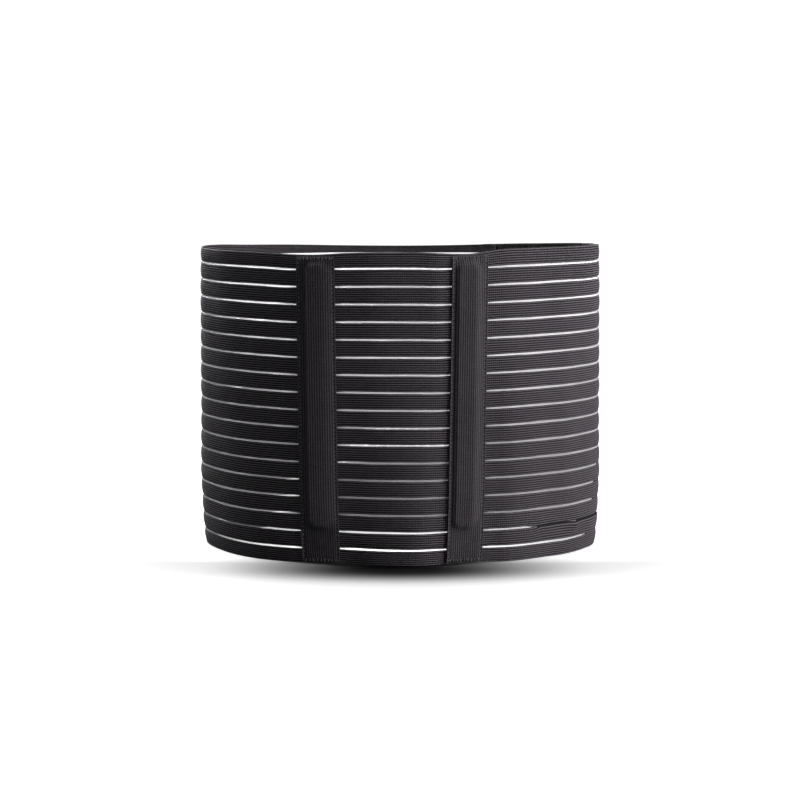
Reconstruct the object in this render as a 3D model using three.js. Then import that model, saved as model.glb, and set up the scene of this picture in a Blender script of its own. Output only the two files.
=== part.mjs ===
// Abdominal binder: a wide belt of ribbed elastic that stands on its lower edge as an open oval loop.
// Millimetres, +Z up. The side with the two stays faces -Y, and +X is to the right seen from there.
// The origin is the middle of the footprint, on the surface that the belt stands on.
import * as THREE from "three";

// Webbing
const BAND_COUNT = 18;
const BAND_HEIGHT = 11.4;
const EDGE_BAND_HEIGHT = 10.6;
const SLIT_HEIGHT = 1.5;
const WALL_THICKNESS = 1.4;

// Loop, measured on the outer face at mid height
const HALF_WIDTH = 152.3;
const FRONT_DEPTH = 109.5;
const BACK_DEPTH = 88;

// Stay casings: ribbed tape sewn flat on the outside, over a flexible flat stay
const TAPE_WIDTH = 29;
const TAPE_THICKNESS = 1.2;
const TAPE_END_INSET = 1.2;
const SEAM_MARGIN = 0.5;
const STAY_WIDTH = 14;
const STAY_THICKNESS = 1.6;
const STAY_LENGTH = 195;
const STAY_TOP_INSET = 7;
const RIDGE_SLOPE = 4;
const RIDGE_END_SLOPE = 4;

// Closure: the hook-and-loop panel over the two ends of the webbing
const CLOSURE_WIDTH = 102;
const CLOSURE_THICKNESS = 2.2;
const CLOSURE_OVERLAP = 11;
const CLOSURE_CENTRE_SHARE = 0.352;

// Clearance between pieces that lie on each other
const FIT_GAP = 0.3;

// Outline of the loop seen from above, from the middle of the front round to the right.
// across: share of HALF_WIDTH. behind: share of FRONT_DEPTH or BACK_DEPTH, negative at the front.
// lean: how far the top lies ahead and the foot behind, as a share of FRONT_DEPTH.
// lift: how far the bands rise or dip, most at the top, as a share of EDGE_BAND_HEIGHT.
// rim: how far the top edge alone rises or dips, as a share of EDGE_BAND_HEIGHT.
const PLAN = [
  { across: 0.0, behind: -1.0, lean: 0.012, lift: 0.03, rim: 0.04 },
  { across: 0.095, behind: -0.997, lean: 0.011, lift: 0.022, rim: 0.04 },
  { across: 0.19, behind: -0.973, lean: 0.028, lift: -0.015, rim: 0.02 },
  { across: 0.335, behind: -0.905, lean: 0.03, lift: 0.01, rim: -0.08 },
  { across: 0.44, behind: -0.852, lean: 0.026, lift: 0.053, rim: 0.07 },
  { across: 0.53, behind: -0.812, lean: 0.012, lift: 0.088, rim: 0.14 },
  { across: 0.627, behind: -0.73, lean: 0.002, lift: 0.08, rim: 0.135 },
  { across: 0.728, behind: -0.619, lean: -0.009, lift: 0.071, rim: 0.13 },
  { across: 0.831, behind: -0.495, lean: -0.018, lift: 0.055, rim: 0.12 },
  { across: 0.94, behind: -0.279, lean: -0.009, lift: 0.006, rim: 0.13 },
  { across: 0.995, behind: -0.07, lean: -0.007, lift: -0.005, rim: 0.06 },
  { across: 0.994, behind: 0.2, lean: 0.0, lift: 0.0, rim: -0.05 },
  { across: 0.925, behind: 0.46, lean: 0.0, lift: 0.0, rim: -0.11 },
  { across: 0.77, behind: 0.71, lean: 0.0, lift: 0.0, rim: -0.24 },
  { across: 0.55, behind: 0.875, lean: 0.0, lift: 0.0, rim: -0.36 },
  { across: 0.3, behind: 0.965, lean: 0.0, lift: 0.0, rim: -0.49 },
  { across: 0.0, behind: 1.0, lean: 0.0, lift: 0.0, rim: -0.555 },
  { across: -0.3, behind: 0.97, lean: 0.0, lift: 0.0, rim: -0.51 },
  { across: -0.57, behind: 0.865, lean: 0.0, lift: -0.01, rim: -0.4 },
  { across: -0.79, behind: 0.68, lean: 0.0, lift: -0.03, rim: -0.3 },
  { across: -0.935, behind: 0.43, lean: 0.005, lift: -0.05, rim: -0.15 },
  { across: -0.998, behind: 0.14, lean: 0.015, lift: -0.07, rim: -0.07 },
  { across: -0.985, behind: -0.13, lean: 0.025, lift: -0.08, rim: -0.06 },
  { across: -0.911, behind: -0.375, lean: 0.027, lift: -0.073, rim: -0.05 },
  { across: -0.828, behind: -0.553, lean: 0.015, lift: -0.043, rim: -0.045 },
  { across: -0.725, behind: -0.692, lean: 0.01, lift: -0.042, rim: -0.04 },
  { across: -0.626, behind: -0.783, lean: 0.017, lift: -0.062, rim: -0.04 },
  { across: -0.527, behind: -0.858, lean: 0.027, lift: -0.08, rim: -0.05 },
  { across: -0.405, behind: -0.912, lean: 0.034, lift: -0.05, rim: -0.075 },
  { across: -0.262, behind: -0.948, lean: 0.038, lift: -0.002, rim: 0.01 },
  { across: -0.12, behind: -0.988, lean: 0.022, lift: 0.027, rim: 0.035 },
];

// Width of the loop up its height. up: share of the height. wide: share of HALF_WIDTH.
const PROFILE = [
  { up: 0.0, wide: 0.982 },
  { up: 0.045, wide: 0.989 },
  { up: 0.1, wide: 0.996 },
  { up: 0.25, wide: 1.004 },
  { up: 0.5, wide: 1.0 },
  { up: 0.8, wide: 0.997 },
  { up: 1.0, wide: 0.993 },
];

// The two casings run closer together towards the foot.
// top, foot: where the middle of the tape lies, as a share of HALF_WIDTH.
const CASINGS = [
  { side: "left", top: -0.406, foot: -0.385 },
  { side: "right", top: 0.335, foot: 0.312 },
];

// Creases where the foot of the webbing is pushed together and a slit nearly closes.
// slit: counted from the foot. across: share of HALF_WIDTH. reach: share of HALF_WIDTH to each side.
// close: share of the slit that is gone. dent: how far the wall is pushed in, as a share of BAND_HEIGHT.
const CREASES = [{ slit: 2, across: 0.8, reach: 0.1, close: 0.7, dent: 0.12 }];

// Facets: how many columns each stretch of the wall has, and how much more a bend has
const COLUMNS = { back: 25, seam: 4, middle: 8, side: 14, hem: 1 };
const BEND_WEIGHT = 45;
const SAMPLES_PER_ROW = 24;

const SLIT_COUNT = BAND_COUNT - 1;
const HEIGHT =
  (BAND_COUNT - 2) * BAND_HEIGHT + 2 * EDGE_BAND_HEIGHT + SLIT_COUNT * SLIT_HEIGHT;
const SEAM_WIDTH = TAPE_WIDTH + 2 * SEAM_MARGIN;

// Smooth value through four evenly spaced values
function blend(a, b, c, d, t) {
  const slopeIn = (c - a) / 2;
  const slopeOut = (d - b) / 2;
  const t2 = t * t;
  const t3 = t2 * t;
  return (
    (2 * t3 - 3 * t2 + 1) * b +
    (t3 - 2 * t2 + t) * slopeIn +
    (3 * t2 - 2 * t3) * c +
    (t3 - t2) * slopeOut
  );
}

// A named column of the plan at a place between its rows, the last row joined to the first
function planValue(column, place) {
  const n = PLAN.length;
  const i = Math.floor(place);
  const at = (k) => PLAN[(((i + k) % n) + n) % n][column];
  return blend(at(-1), at(0), at(1), at(2), place - i);
}

// The outline as many short steps, with the length walked from the middle of the front
function walkPlan() {
  const steps = PLAN.length * SAMPLES_PER_ROW;
  const walk = [];
  let length = 0;
  for (let i = 0; i <= steps; i++) {
    const place = i / SAMPLES_PER_ROW;
    const behind = planValue("behind", place);
    const x = HALF_WIDTH * planValue("across", place);
    const y = behind * (behind < 0 ? FRONT_DEPTH : BACK_DEPTH);
    if (i > 0) {
      const last = walk[i - 1];
      length += Math.hypot(x - last.x, y - last.y);
    }
    walk.push({
      x,
      y,
      length,
      lean: planValue("lean", place) * FRONT_DEPTH,
      lift: planValue("lift", place) * EDGE_BAND_HEIGHT,
      rim: planValue("rim", place) * EDGE_BAND_HEIGHT,
    });
  }
  return walk;
}

const WALK = walkPlan();
const GIRTH = WALK[WALK.length - 1].length;

// Point of the outline at a length s round the loop, which may be negative or past the end
function onPlan(s) {
  const want = ((s % GIRTH) + GIRTH) % GIRTH;
  let low = 0;
  let high = WALK.length - 1;
  while (high - low > 1) {
    const middle = (low + high) >> 1;
    if (WALK[middle].length <= want) low = middle;
    else high = middle;
  }
  const a = WALK[low];
  const b = WALK[high];
  const t = (want - a.length) / (b.length - a.length);
  const mix = (key) => a[key] + (b[key] - a[key]) * t;
  return {
    x: mix("x"),
    y: mix("y"),
    lean: mix("lean"),
    lift: mix("lift"),
    rim: mix("rim"),
  };
}

// Length round the loop where the front has a given share of the half width
function frontLength(across) {
  let low = -GIRTH / 4;
  let high = GIRTH / 4;
  for (let i = 0; i < 40; i++) {
    const middle = (low + high) / 2;
    if (onPlan(middle).x < across * HALF_WIDTH) low = middle;
    else high = middle;
  }
  return (low + high) / 2;
}

// Share of the half width at a height
function wideAt(z) {
  const up = THREE.MathUtils.clamp(z / HEIGHT, 0, 1);
  let i = 0;
  while (i < PROFILE.length - 2 && PROFILE[i + 1].up <= up) i++;
  const a = PROFILE[i];
  const b = PROFILE[i + 1];
  return a.wide + (b.wide - a.wide) * THREE.MathUtils.smoothstep(up, a.up, b.up);
}

// Height of the middle of a slit, counted from the foot
function slitMiddle(slit) {
  return EDGE_BAND_HEIGHT + (slit - 1) * (BAND_HEIGHT + SLIT_HEIGHT) + SLIT_HEIGHT / 2;
}

// How strongly a crease is felt at a length round the loop, from 0 to 1
function creaseShare(crease, s) {
  const off = (s - frontLength(crease.across)) / (crease.reach * HALF_WIDTH);
  return Math.abs(off) < 1 ? (1 + Math.cos(Math.PI * off)) / 2 : 0;
}

// Outward direction of the wall, level
function outward(s) {
  const step = HALF_WIDTH / 75;
  const a = onPlan(s - step);
  const b = onPlan(s + step);
  const length = Math.hypot(b.x - a.x, b.y - a.y);
  return { x: (b.y - a.y) / length, y: -(b.x - a.x) / length };
}

// Point at a length round the loop, a height and a distance outside the wall's outer face
function onWall(s, z, out) {
  const p = onPlan(s);
  const n = outward(s);
  let offset = out;
  for (const crease of CREASES) {
    const rise = (z - slitMiddle(crease.slit)) / BAND_HEIGHT;
    const fade = Math.exp(-rise * rise);
    offset -= creaseShare(crease, s) * fade * crease.dent * BAND_HEIGHT;
  }
  const up = z / HEIGHT;
  const ahead = p.lean * (2 * up - 1);
  return new THREE.Vector3(
    p.x * wideAt(z) + n.x * offset,
    p.y - ahead + n.y * offset,
    z + p.lift * up,
  );
}

// Height of the top edge at a length round the loop
function rimHeight(s) {
  return HEIGHT + onPlan(s).rim;
}

// Length round the loop of a casing's middle at a height
function casingMiddle(casing, z) {
  const up = z / HEIGHT;
  const foot = frontLength(casing.foot);
  return foot + (frontLength(casing.top) - foot) * up;
}

// Evenly spaced values, both ends kept
function spread(from, to, count) {
  return Array.from({ length: count + 1 }, (_, i) => from + ((to - from) * i) / count);
}

// Lengths round the loop from one place to another, closer together where the wall bends
function spreadByBend(from, to, count) {
  const fine = spread(from, to, count * 12);
  const weight = [0];
  for (let i = 1; i < fine.length; i++) {
    const a = outward(fine[i - 1]);
    const b = outward(fine[i]);
    const turn = Math.hypot(b.x - a.x, b.y - a.y);
    weight.push(weight[i - 1] + fine[i] - fine[i - 1] + BEND_WEIGHT * turn);
  }
  const total = weight[weight.length - 1];
  return spread(0, total, count).map((want, k) => {
    if (k === 0) return from;
    if (k === count) return to;
    const i = weight.findIndex((w) => w >= want);
    const t = (want - weight[i - 1]) / (weight[i] - weight[i - 1]);
    return fine[i - 1] + (fine[i] - fine[i - 1]) * t;
  });
}

// Closed body from its corner points and its quads, each listed anticlockwise seen from outside
function bodyFrom(points, quads) {
  const geometry = new THREE.BufferGeometry();
  const position = points.flatMap((p) => [p.x, p.y, p.z]);
  geometry.setAttribute("position", new THREE.Float32BufferAttribute(position, 3));
  geometry.setIndex(quads.flatMap(([a, b, c, d]) => [a, b, c, a, c, d]));
  geometry.computeVertexNormals();
  return geometry;
}

// Sheet with a thickness: columns run round the loop, rows run up.
// pointAt gives the outer or inner point of a corner, and open tells which cells are cut through.
function sheetBody(columnCount, rowCount, pointAt, open) {
  const points = [];
  const index = (outer, column, row) =>
    (outer ? 0 : (columnCount + 1) * (rowCount + 1)) + column * (rowCount + 1) + row;
  for (const outer of [true, false])
    for (let column = 0; column <= columnCount; column++)
      for (let row = 0; row <= rowCount; row++) points.push(pointAt(outer, column, row));
  const solid = (column, row) =>
    column >= 0 &&
    column < columnCount &&
    row >= 0 &&
    row < rowCount &&
    !open(column, row);
  const quads = [];
  for (let column = 0; column < columnCount; column++)
    for (let row = 0; row < rowCount; row++) {
      if (!solid(column, row)) continue;
      const corner = (outer, c, r) => index(outer, column + c, row + r);
      const outerFace = [[0, 0], [1, 0], [1, 1], [0, 1]].map(([c, r]) => corner(true, c, r));
      const innerFace = [[0, 0], [0, 1], [1, 1], [1, 0]].map(([c, r]) => corner(false, c, r));
      quads.push(outerFace, innerFace);
      const edges = [
        { free: !solid(column, row - 1), from: [0, 0], to: [1, 0] },
        { free: !solid(column + 1, row), from: [1, 0], to: [1, 1] },
        { free: !solid(column, row + 1), from: [1, 1], to: [0, 1] },
        { free: !solid(column - 1, row), from: [0, 1], to: [0, 0] },
      ];
      for (const { free, from, to } of edges)
        if (free)
          quads.push([
            corner(true, ...to),
            corner(true, ...from),
            corner(false, ...from),
            corner(false, ...to),
          ]);
    }
  return bodyFrom(points, quads);
}

// Ends of the webbing under the closure, counted from the middle of the front
const CLOSURE_CENTRE = CLOSURE_CENTRE_SHARE * GIRTH;
const RIGHT_END = CLOSURE_CENTRE - CLOSURE_WIDTH / 2 + CLOSURE_OVERLAP;
const LEFT_END = CLOSURE_CENTRE + CLOSURE_WIDTH / 2 - CLOSURE_OVERLAP - GIRTH;

// Stretches of the webbing from its left end to its right end, and which of them have slits
function wallColumns(z) {
  const [left, right] = CASINGS.map((casing) => casingMiddle(casing, z));
  const half = SEAM_WIDTH / 2;
  const hem = CLOSURE_OVERLAP;
  const back = spreadByBend(LEFT_END + hem, left - half, COLUMNS.back);
  const side = spreadByBend(right + half, RIGHT_END - hem, COLUMNS.side);
  return [
    { cut: false, at: spread(LEFT_END, LEFT_END + hem, COLUMNS.hem) },
    { cut: true, at: back },
    { cut: false, at: spread(left - half, left + half, COLUMNS.seam) },
    { cut: true, at: spread(left + half, right - half, COLUMNS.middle) },
    { cut: false, at: spread(right - half, right + half, COLUMNS.seam) },
    { cut: true, at: side },
    { cut: false, at: spread(RIGHT_END - hem, RIGHT_END, COLUMNS.hem) },
  ];
}

// Band edges up the wall: the foot, then the two edges of each slit, then the top
function bandEdges() {
  const edges = [0];
  for (let slit = 1; slit <= SLIT_COUNT; slit++) {
    const middle = slitMiddle(slit);
    edges.push(middle - SLIT_HEIGHT / 2, middle + SLIT_HEIGHT / 2);
  }
  edges.push(HEIGHT);
  return edges;
}

// Height of a band edge at a length round the loop, after the rim's dip and the creases
function edgeHeight(row, edges, s) {
  if (row === edges.length - 1) return rimHeight(s);
  let z = edges[row];
  for (const crease of CREASES) {
    const gone = crease.close * creaseShare(crease, s) * (SLIT_HEIGHT / 2);
    if (row === 2 * crease.slit - 1) z += gone;
    if (row === 2 * crease.slit) z -= gone;
  }
  return z;
}

function makeWall() {
  const edges = bandEdges();
  const flatten = (z) =>
    wallColumns(z).flatMap((stretch, i) => (i === 0 ? stretch.at : stretch.at.slice(1)));
  const foot = flatten(0);
  const top = flatten(HEIGHT);
  const cut = wallColumns(0).flatMap((stretch) =>
    stretch.at.slice(1).map(() => stretch.cut),
  );
  const pointAt = (outer, column, row) => {
    const up = edges[row] / HEIGHT;
    const s = foot[column] + (top[column] - foot[column]) * up;
    return onWall(s, edgeHeight(row, edges, s), outer ? 0 : -WALL_THICKNESS);
  };
  const open = (column, row) => cut[column] && row % 2 === 1;
  return sheetBody(foot.length - 1, edges.length - 1, pointAt, open);
}

// Foot and top of a casing's tape, and of the stay in it
function casingHeights(casing) {
  const rim = rimHeight(casingMiddle(casing, HEIGHT));
  const stayTop = HEIGHT - STAY_TOP_INSET;
  return {
    foot: TAPE_END_INSET,
    top: rim - TAPE_END_INSET,
    stayFoot: stayTop - STAY_LENGTH,
    stayTop,
  };
}

// The tape lies flat at its edges and is lifted over the stay
function makeCasing(casing) {
  const { foot, top, stayFoot, stayTop } = casingHeights(casing);
  const lift = STAY_THICKNESS + FIT_GAP;
  const ridge = STAY_WIDTH / 2 + FIT_GAP;
  const edge = TAPE_WIDTH / 2;
  const across = [
    { at: -edge, up: 0 },
    { at: -ridge - RIDGE_SLOPE, up: 0 },
    { at: -ridge, up: 1 },
    { at: -ridge / 3, up: 1 },
    { at: ridge / 3, up: 1 },
    { at: ridge, up: 1 },
    { at: ridge + RIDGE_SLOPE, up: 0 },
    { at: edge, up: 0 },
  ];
  const along = [
    { z: foot, up: 0 },
    { z: (foot + stayFoot - RIDGE_END_SLOPE) / 2, up: 0 },
    { z: stayFoot - FIT_GAP - RIDGE_END_SLOPE, up: 0 },
    ...spread(stayFoot - FIT_GAP, stayTop + FIT_GAP, 11).map((z) => ({ z, up: 1 })),
    { z: stayTop + FIT_GAP + Math.min(RIDGE_END_SLOPE, (top - stayTop) / 2), up: 0 },
    { z: top, up: 0 },
  ];
  const pointAt = (outer, column, row) => {
    const { z, up } = along[row];
    const { at, up: side } = across[column];
    const out = FIT_GAP + lift * up * side + (outer ? TAPE_THICKNESS : 0);
    return onWall(casingMiddle(casing, z) + at, z, out);
  };
  return sheetBody(across.length - 1, along.length - 1, pointAt, () => false);
}

// A flat strip with round ends, in the pocket between the wall and the tape
function makeStay(casing) {
  const { stayFoot, stayTop } = casingHeights(casing);
  const radius = STAY_WIDTH / 2;
  const round = [0, 0.12, 0.35, 0.65];
  const along = [
    ...round.map((t) => ({ z: stayFoot + t * radius, t })),
    ...spread(stayFoot + radius, stayTop - radius, 12).map((z) => ({ z, t: 1 })),
    ...[...round].reverse().map((t) => ({ z: stayTop - t * radius, t })),
  ];
  const across = [-1, -0.5, 0, 0.5, 1];
  const pointAt = (outer, column, row) => {
    const { z, t } = along[row];
    const half = radius * Math.max(0.3, Math.sqrt(1 - (1 - t) * (1 - t)));
    const out = FIT_GAP + (outer ? STAY_THICKNESS : 0);
    return onWall(casingMiddle(casing, z) + across[column] * half, z, out);
  };
  return sheetBody(across.length - 1, along.length - 1, pointAt, () => false);
}

// One panel outside the wall, over both ends of the webbing
function makeClosure() {
  const from = CLOSURE_CENTRE - CLOSURE_WIDTH / 2;
  const to = CLOSURE_CENTRE + CLOSURE_WIDTH / 2;
  const columns = [
    from,
    ...spread(from + CLOSURE_OVERLAP, to - CLOSURE_OVERLAP, 8),
    to,
  ];
  const rows = spread(0, 1, 10);
  const pointAt = (outer, column, row) => {
    const s = columns[column];
    const out = FIT_GAP + (outer ? CLOSURE_THICKNESS : 0);
    return onWall(s, rows[row] * rimHeight(s), out);
  };
  return sheetBody(columns.length - 1, rows.length - 1, pointAt, () => false);
}

function mesh(name, geometry, material) {
  const made = new THREE.Mesh(geometry, material);
  made.name = name;
  return made;
}

const webbing = new THREE.MeshStandardMaterial({
  color: 0x232224,
  roughness: 0.86,
  metalness: 0,
});
const tape = new THREE.MeshStandardMaterial({
  color: 0x1c1c1e,
  roughness: 0.78,
  metalness: 0,
});
const stay = new THREE.MeshStandardMaterial({
  color: 0xd8d8d4,
  roughness: 0.5,
  metalness: 0,
});
const fastening = new THREE.MeshStandardMaterial({
  color: 0x1a1918,
  roughness: 0.95,
  metalness: 0,
});

const binder = new THREE.Group();
binder.add(mesh("elastic_wall", makeWall(), webbing));
for (const casing of CASINGS) {
  binder.add(mesh("stay_casing_" + casing.side, makeCasing(casing), tape));
  binder.add(mesh("stay_" + casing.side, makeStay(casing), stay));
}
binder.add(mesh("closure_panel", makeClosure(), fastening));

// The middle of the footprint goes to the origin
const extent = new THREE.Box3().setFromObject(binder);
const middle = extent.getCenter(new THREE.Vector3());
binder.position.set(-middle.x, -middle.y, 0);

export default binder;
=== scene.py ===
# %% [markdown]
# # An abdominal binder, dressed in Blender
# A binder is a wide elastic belt for the waist. This one stands on its lower edge as an open oval
# loop. Its webbing is woven in eighteen ribbed bands that only clear ladder threads hold together,
# so light comes through the slits between them. Two tapes with flat stays under them stiffen the
# back of the wearer, and a brushed panel closes the loop on the other side.
#
# The CAD model gives the size and the place of everything, so it is loaded first and never moved.

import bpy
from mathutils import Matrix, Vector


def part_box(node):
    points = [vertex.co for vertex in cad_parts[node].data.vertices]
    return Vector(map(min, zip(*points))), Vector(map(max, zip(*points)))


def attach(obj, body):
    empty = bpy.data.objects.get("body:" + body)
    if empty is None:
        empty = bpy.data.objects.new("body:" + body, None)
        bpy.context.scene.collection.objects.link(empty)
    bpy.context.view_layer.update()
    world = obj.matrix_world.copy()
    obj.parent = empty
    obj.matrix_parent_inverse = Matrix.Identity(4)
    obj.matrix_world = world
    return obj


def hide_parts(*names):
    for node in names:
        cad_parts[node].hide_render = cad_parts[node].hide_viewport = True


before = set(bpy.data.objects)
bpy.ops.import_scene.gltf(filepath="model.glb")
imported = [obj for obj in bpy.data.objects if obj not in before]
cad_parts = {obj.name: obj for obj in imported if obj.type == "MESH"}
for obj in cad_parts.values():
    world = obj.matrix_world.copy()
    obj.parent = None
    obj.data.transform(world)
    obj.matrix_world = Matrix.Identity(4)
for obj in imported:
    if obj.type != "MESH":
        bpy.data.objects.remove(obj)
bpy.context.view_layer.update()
print("CAD nodes:", ", ".join(sorted(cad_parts)))

# %% Tools and units
import math

import bpy
import numpy as np
from mathutils import Vector

MM = 0.001
scene = bpy.context.scene

# %% [markdown]
# ## The sizes of the belt
# Every piece follows the same oval wall, so its sizes are named once, in metres, with the names
# that the CAD source uses. A dressed piece that is made from them lies exactly on its solid.

# %% Sizes of the webbing, the tapes, the stays and the closure
BAND_COUNT = 18
SLIT_COUNT = BAND_COUNT - 1
BAND_HEIGHT = 11.4 * MM
EDGE_BAND_HEIGHT = 10.6 * MM
SLIT_HEIGHT = 1.5 * MM
WALL_THICKNESS = 1.4 * MM
HEIGHT = (BAND_COUNT - 2) * BAND_HEIGHT + 2 * EDGE_BAND_HEIGHT + SLIT_COUNT * SLIT_HEIGHT

HALF_WIDTH = 152.3 * MM
FRONT_DEPTH = 109.5 * MM
BACK_DEPTH = 88 * MM

TAPE_WIDTH = 29 * MM
TAPE_THICKNESS = 1.2 * MM
TAPE_END_INSET = 1.2 * MM
STAY_WIDTH = 14 * MM
STAY_THICKNESS = 1.6 * MM
STAY_LENGTH = 195 * MM
STAY_TOP_INSET = 7 * MM

CLOSURE_WIDTH = 102 * MM
CLOSURE_THICKNESS = 2.2 * MM
CLOSURE_OVERLAP = 11 * MM
CLOSURE_CENTRE_SHARE = 0.352
FIT_GAP = 0.3 * MM

# %% The oval seen from above
# Columns: across, behind, lean, lift and rim, from the middle of the front round to the right.
PLAN = np.array([
    (0.0, -1.0, 0.012, 0.03, 0.04),
    (0.095, -0.997, 0.011, 0.022, 0.04),
    (0.19, -0.973, 0.028, -0.015, 0.02),
    (0.335, -0.905, 0.03, 0.01, -0.08),
    (0.44, -0.852, 0.026, 0.053, 0.07),
    (0.53, -0.812, 0.012, 0.088, 0.14),
    (0.627, -0.73, 0.002, 0.08, 0.135),
    (0.728, -0.619, -0.009, 0.071, 0.13),
    (0.831, -0.495, -0.018, 0.055, 0.12),
    (0.94, -0.279, -0.009, 0.006, 0.13),
    (0.995, -0.07, -0.007, -0.005, 0.06),
    (0.994, 0.2, 0.0, 0.0, -0.05),
    (0.925, 0.46, 0.0, 0.0, -0.11),
    (0.77, 0.71, 0.0, 0.0, -0.24),
    (0.55, 0.875, 0.0, 0.0, -0.36),
    (0.3, 0.965, 0.0, 0.0, -0.49),
    (0.0, 1.0, 0.0, 0.0, -0.555),
    (-0.3, 0.97, 0.0, 0.0, -0.51),
    (-0.57, 0.865, 0.0, -0.01, -0.4),
    (-0.79, 0.68, 0.0, -0.03, -0.3),
    (-0.935, 0.43, 0.005, -0.05, -0.15),
    (-0.998, 0.14, 0.015, -0.07, -0.07),
    (-0.985, -0.13, 0.025, -0.08, -0.06),
    (-0.911, -0.375, 0.027, -0.073, -0.05),
    (-0.828, -0.553, 0.015, -0.043, -0.045),
    (-0.725, -0.692, 0.01, -0.042, -0.04),
    (-0.626, -0.783, 0.017, -0.062, -0.04),
    (-0.527, -0.858, 0.027, -0.08, -0.05),
    (-0.405, -0.912, 0.034, -0.05, -0.075),
    (-0.262, -0.948, 0.038, -0.002, 0.01),
    (-0.12, -0.988, 0.022, 0.027, 0.035),
])
# Share of the half width up the height of the loop
PROFILE_UP = np.array([0.0, 0.045, 0.1, 0.25, 0.5, 0.8, 1.0])
PROFILE_WIDE = np.array([0.982, 0.989, 0.996, 1.004, 1.0, 0.997, 0.993])
# Middle of each tape at its top and foot, as a share of the half width
CASINGS = {"left": (-0.406, -0.385), "right": (0.335, 0.312)}
# The pinched place low on the right: slit, across, reach and dent, as shares of the half width
# and of a band's height
CREASES = [(2, 0.8, 0.1, 0.12)]
# Slits that the squeezed cloth shuts, and the share of the half width where each starts to close
SHUT_SLITS = {1: 0.925, 2: 0.635, 3: 0.955, 4: 0.96, 5: 0.975}
SAMPLES_PER_ROW = 24
HALVINGS = 40
DIRECTION_STEP = HALF_WIDTH / 75

# %% [markdown]
# ## A wall that can be walked along
# Cloth is easiest to make in its own two directions: *along* is the length walked round the loop
# from the middle of the front, and *up* is the height. `on_wall` bends such a flat place, with a
# distance outside the wall, into space. Bands, tapes, stitches and threads all go through it.

# %% The outline as a walk round the loop
def walk_plan():
    rows = len(PLAN)
    place = np.arange(rows * SAMPLES_PER_ROW + 1) / SAMPLES_PER_ROW
    whole = np.floor(place).astype(int)
    t = (place - whole)[:, None]
    before, here, after, later = (PLAN[(whole + k) % rows] for k in (-1, 0, 1, 2))
    slope_in, slope_out = (after - before) / 2, (later - here) / 2
    value = (
        (2 * t**3 - 3 * t**2 + 1) * here + (t**3 - 2 * t**2 + t) * slope_in
        + (3 * t**2 - 2 * t**3) * after + (t**3 - t**2) * slope_out
    )
    x = value[:, 0] * HALF_WIDTH
    y = value[:, 1] * np.where(value[:, 1] < 0, FRONT_DEPTH, BACK_DEPTH)
    steps = np.hypot(np.diff(x), np.diff(y))
    length = np.concatenate([[0], np.cumsum(steps)])
    edge = EDGE_BAND_HEIGHT
    return length, np.stack([x, y, value[:, 2] * FRONT_DEPTH, value[:, 3] * edge, value[:, 4] * edge])


WALK_LENGTH, WALK_VALUES = walk_plan()
GIRTH = WALK_LENGTH[-1]
print(f"girth {GIRTH:.4f} m, height {HEIGHT:.4f} m")


def on_plan(along):
    """x, y, lean, lift and rim at a length round the loop."""
    want = np.mod(along, GIRTH)
    return [np.interp(want, WALK_LENGTH, row) for row in WALK_VALUES]


def front_length(across):
    """Length round the loop where the front has a given share of the half width."""
    low, high = -GIRTH / 4, GIRTH / 4
    for _ in range(HALVINGS):
        middle = (low + high) / 2
        if on_plan(middle)[0] < across * HALF_WIDTH:
            low = middle
        else:
            high = middle
    return (low + high) / 2


# %% From a flat place to a point in space
def smooth(value):
    value = np.clip(value, 0, 1)
    return value * value * (3 - 2 * value)


def bell(value):
    """1 at zero, falling softly to both sides."""
    return np.exp(-(value**2))


def wide_at(z):
    up = np.clip(z / HEIGHT, 0, 1)
    i = np.clip(np.searchsorted(PROFILE_UP, up, side="right") - 1, 0, len(PROFILE_UP) - 2)
    share = smooth((up - PROFILE_UP[i]) / (PROFILE_UP[i + 1] - PROFILE_UP[i]))
    return PROFILE_WIDE[i] + (PROFILE_WIDE[i + 1] - PROFILE_WIDE[i]) * share


def slit_middle(slit):
    return EDGE_BAND_HEIGHT + (slit - 1) * (BAND_HEIGHT + SLIT_HEIGHT) + SLIT_HEIGHT / 2


def crease_share(across, reach, along):
    off = (along - front_length(across)) / (reach * HALF_WIDTH)
    return np.where(np.abs(off) < 1, (1 + np.cos(math.pi * off)) / 2, 0)


def outward(along):
    """Level direction that points out of the wall."""
    (ax, ay, *_), (bx, by, *_) = on_plan(along - DIRECTION_STEP), on_plan(along + DIRECTION_STEP)
    length = np.hypot(bx - ax, by - ay)
    return (by - ay) / length, -(bx - ax) / length


PLAN_MIDDLE = np.zeros(3)


def on_wall(along, z, out):
    along, z, out = np.broadcast_arrays(
        np.asarray(along, float), np.asarray(z, float), np.asarray(out, float)
    )
    x, y, lean, lift, _ = on_plan(along)
    nx, ny = outward(along)
    offset = out.copy()
    for slit, across, reach, dent in CREASES:
        rise = (z - slit_middle(slit)) / BAND_HEIGHT
        offset -= crease_share(across, reach, along) * bell(rise) * dent * BAND_HEIGHT
    up = z / HEIGHT
    points = np.stack(
        [x * wide_at(z) + nx * offset, y - lean * (2 * up - 1) + ny * offset, z + lift * up], -1
    )
    return points - PLAN_MIDDLE


def out_direction(along):
    nx, ny = outward(np.asarray(along, float))
    return np.stack([nx, ny, np.zeros_like(nx)], -1)


def rim_height(along):
    return HEIGHT + on_plan(along)[4]


def casing_middle(side, z):
    top, foot = (front_length(across) for across in CASINGS[side])
    return foot + (top - foot) * (z / HEIGHT)


CLOSURE_CENTRE = CLOSURE_CENTRE_SHARE * GIRTH
RIGHT_END = CLOSURE_CENTRE - CLOSURE_WIDTH / 2 + CLOSURE_OVERLAP
LEFT_END = CLOSURE_CENTRE + CLOSURE_WIDTH / 2 - CLOSURE_OVERLAP - GIRTH

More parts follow.
